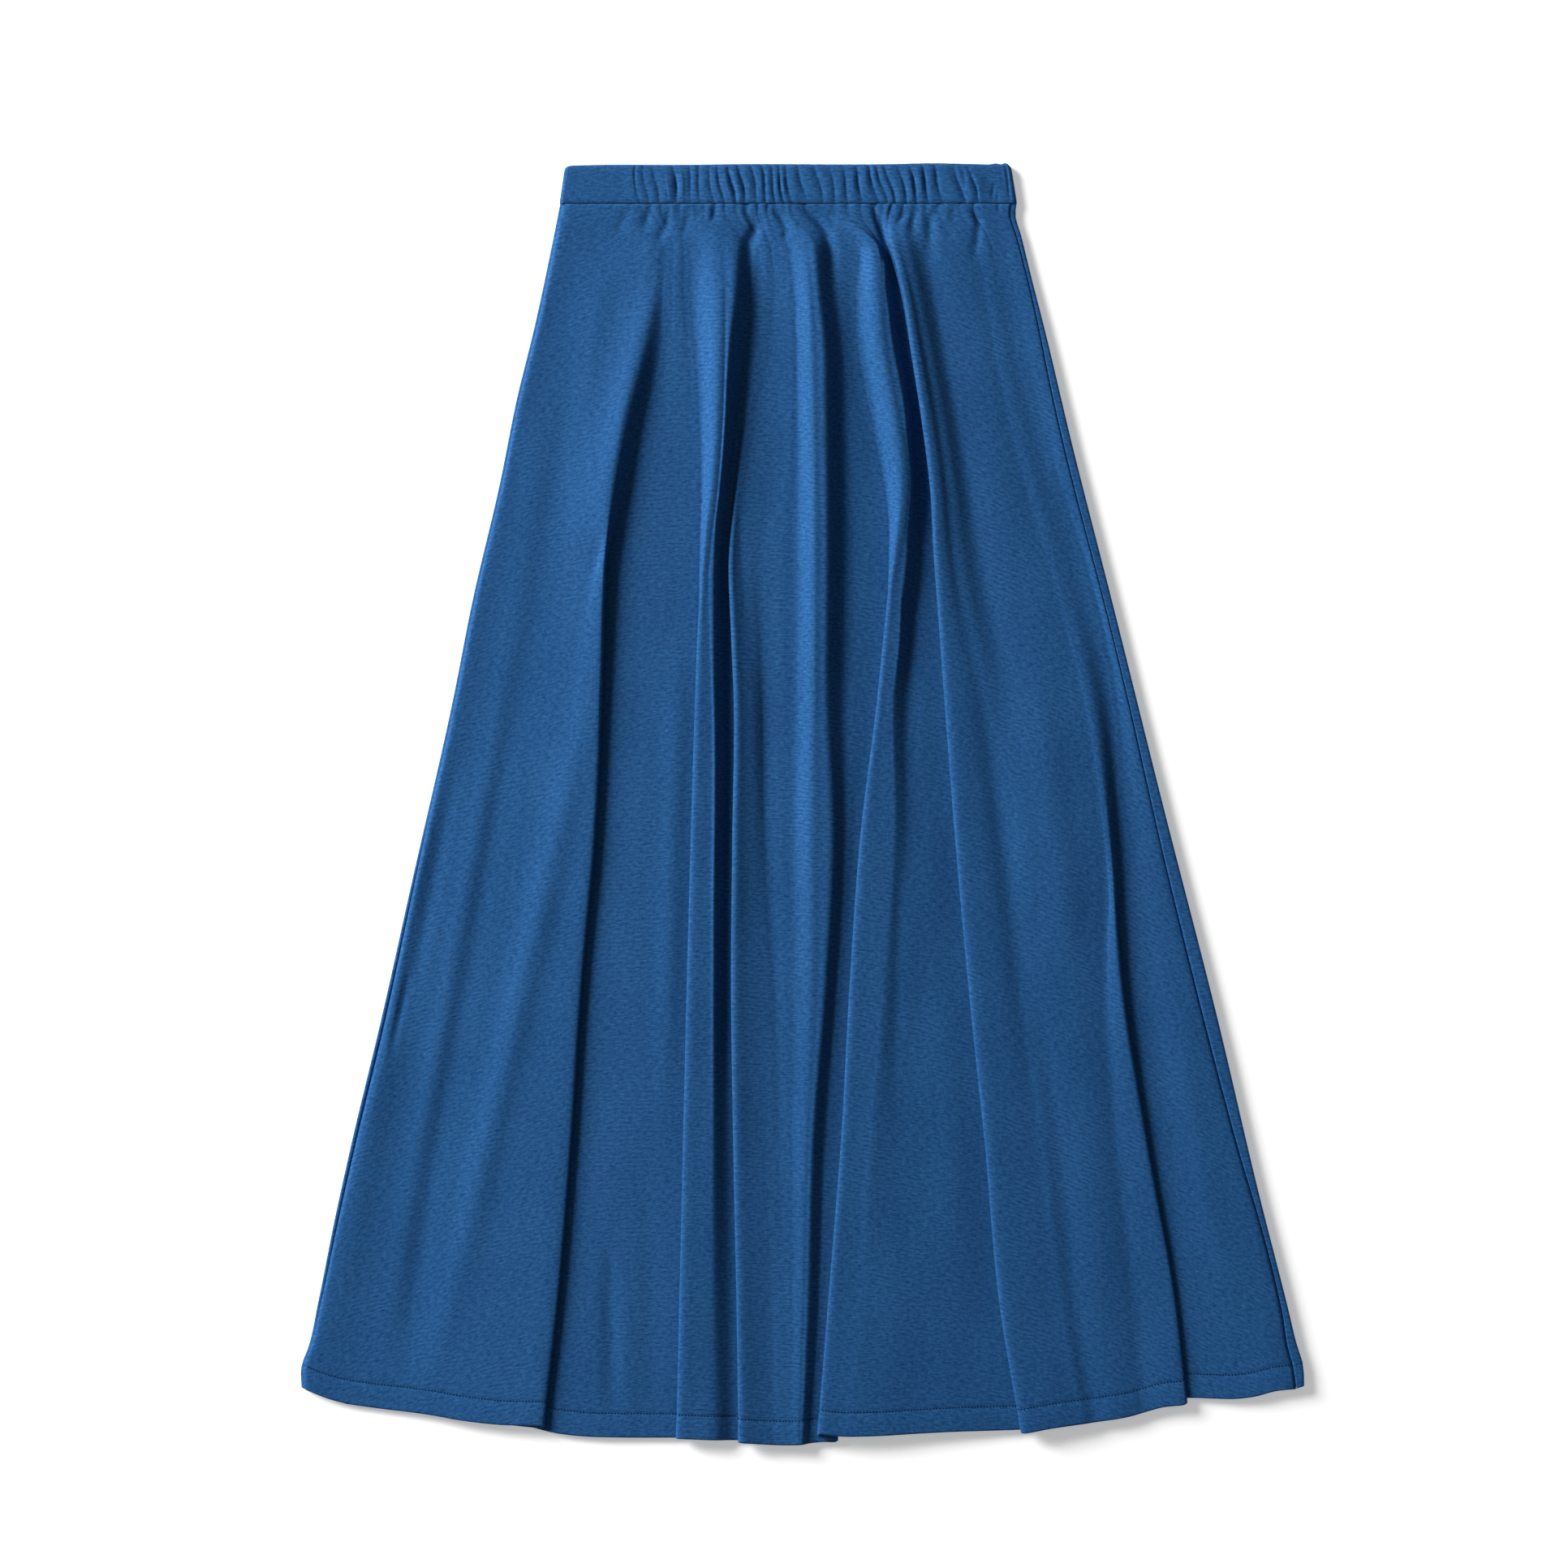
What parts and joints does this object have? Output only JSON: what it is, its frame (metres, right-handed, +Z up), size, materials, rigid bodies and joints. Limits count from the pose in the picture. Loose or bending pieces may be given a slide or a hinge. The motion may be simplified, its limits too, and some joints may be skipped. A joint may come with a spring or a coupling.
{
  "type": "a-line skirt",
  "caption": "A-line jersey skirt laid flat, with a ruched elastic waistband, lapped folds from the gathers to the hem, and a turned hem.",
  "frame": {"origin": "middle of the laid-out skirt's width and length, on the surface it lies on", "axes": "+Y from the hem to the waistband, +X to the right as seen from above, +Z up off the surface"},
  "size_m": [0.7426, 0.946, 0.0194],
  "materials": {
    "waistband": "matte jersey knit, ruched over elastic",
    "front_panel": "matte jersey knit",
    "back_panel": "matte jersey knit"
  },
  "bodies": {
    "root": {"waistband": "waistband", "front_panel": "front_panel", "back_panel": "back_panel"}
  },
  "joints": []
}
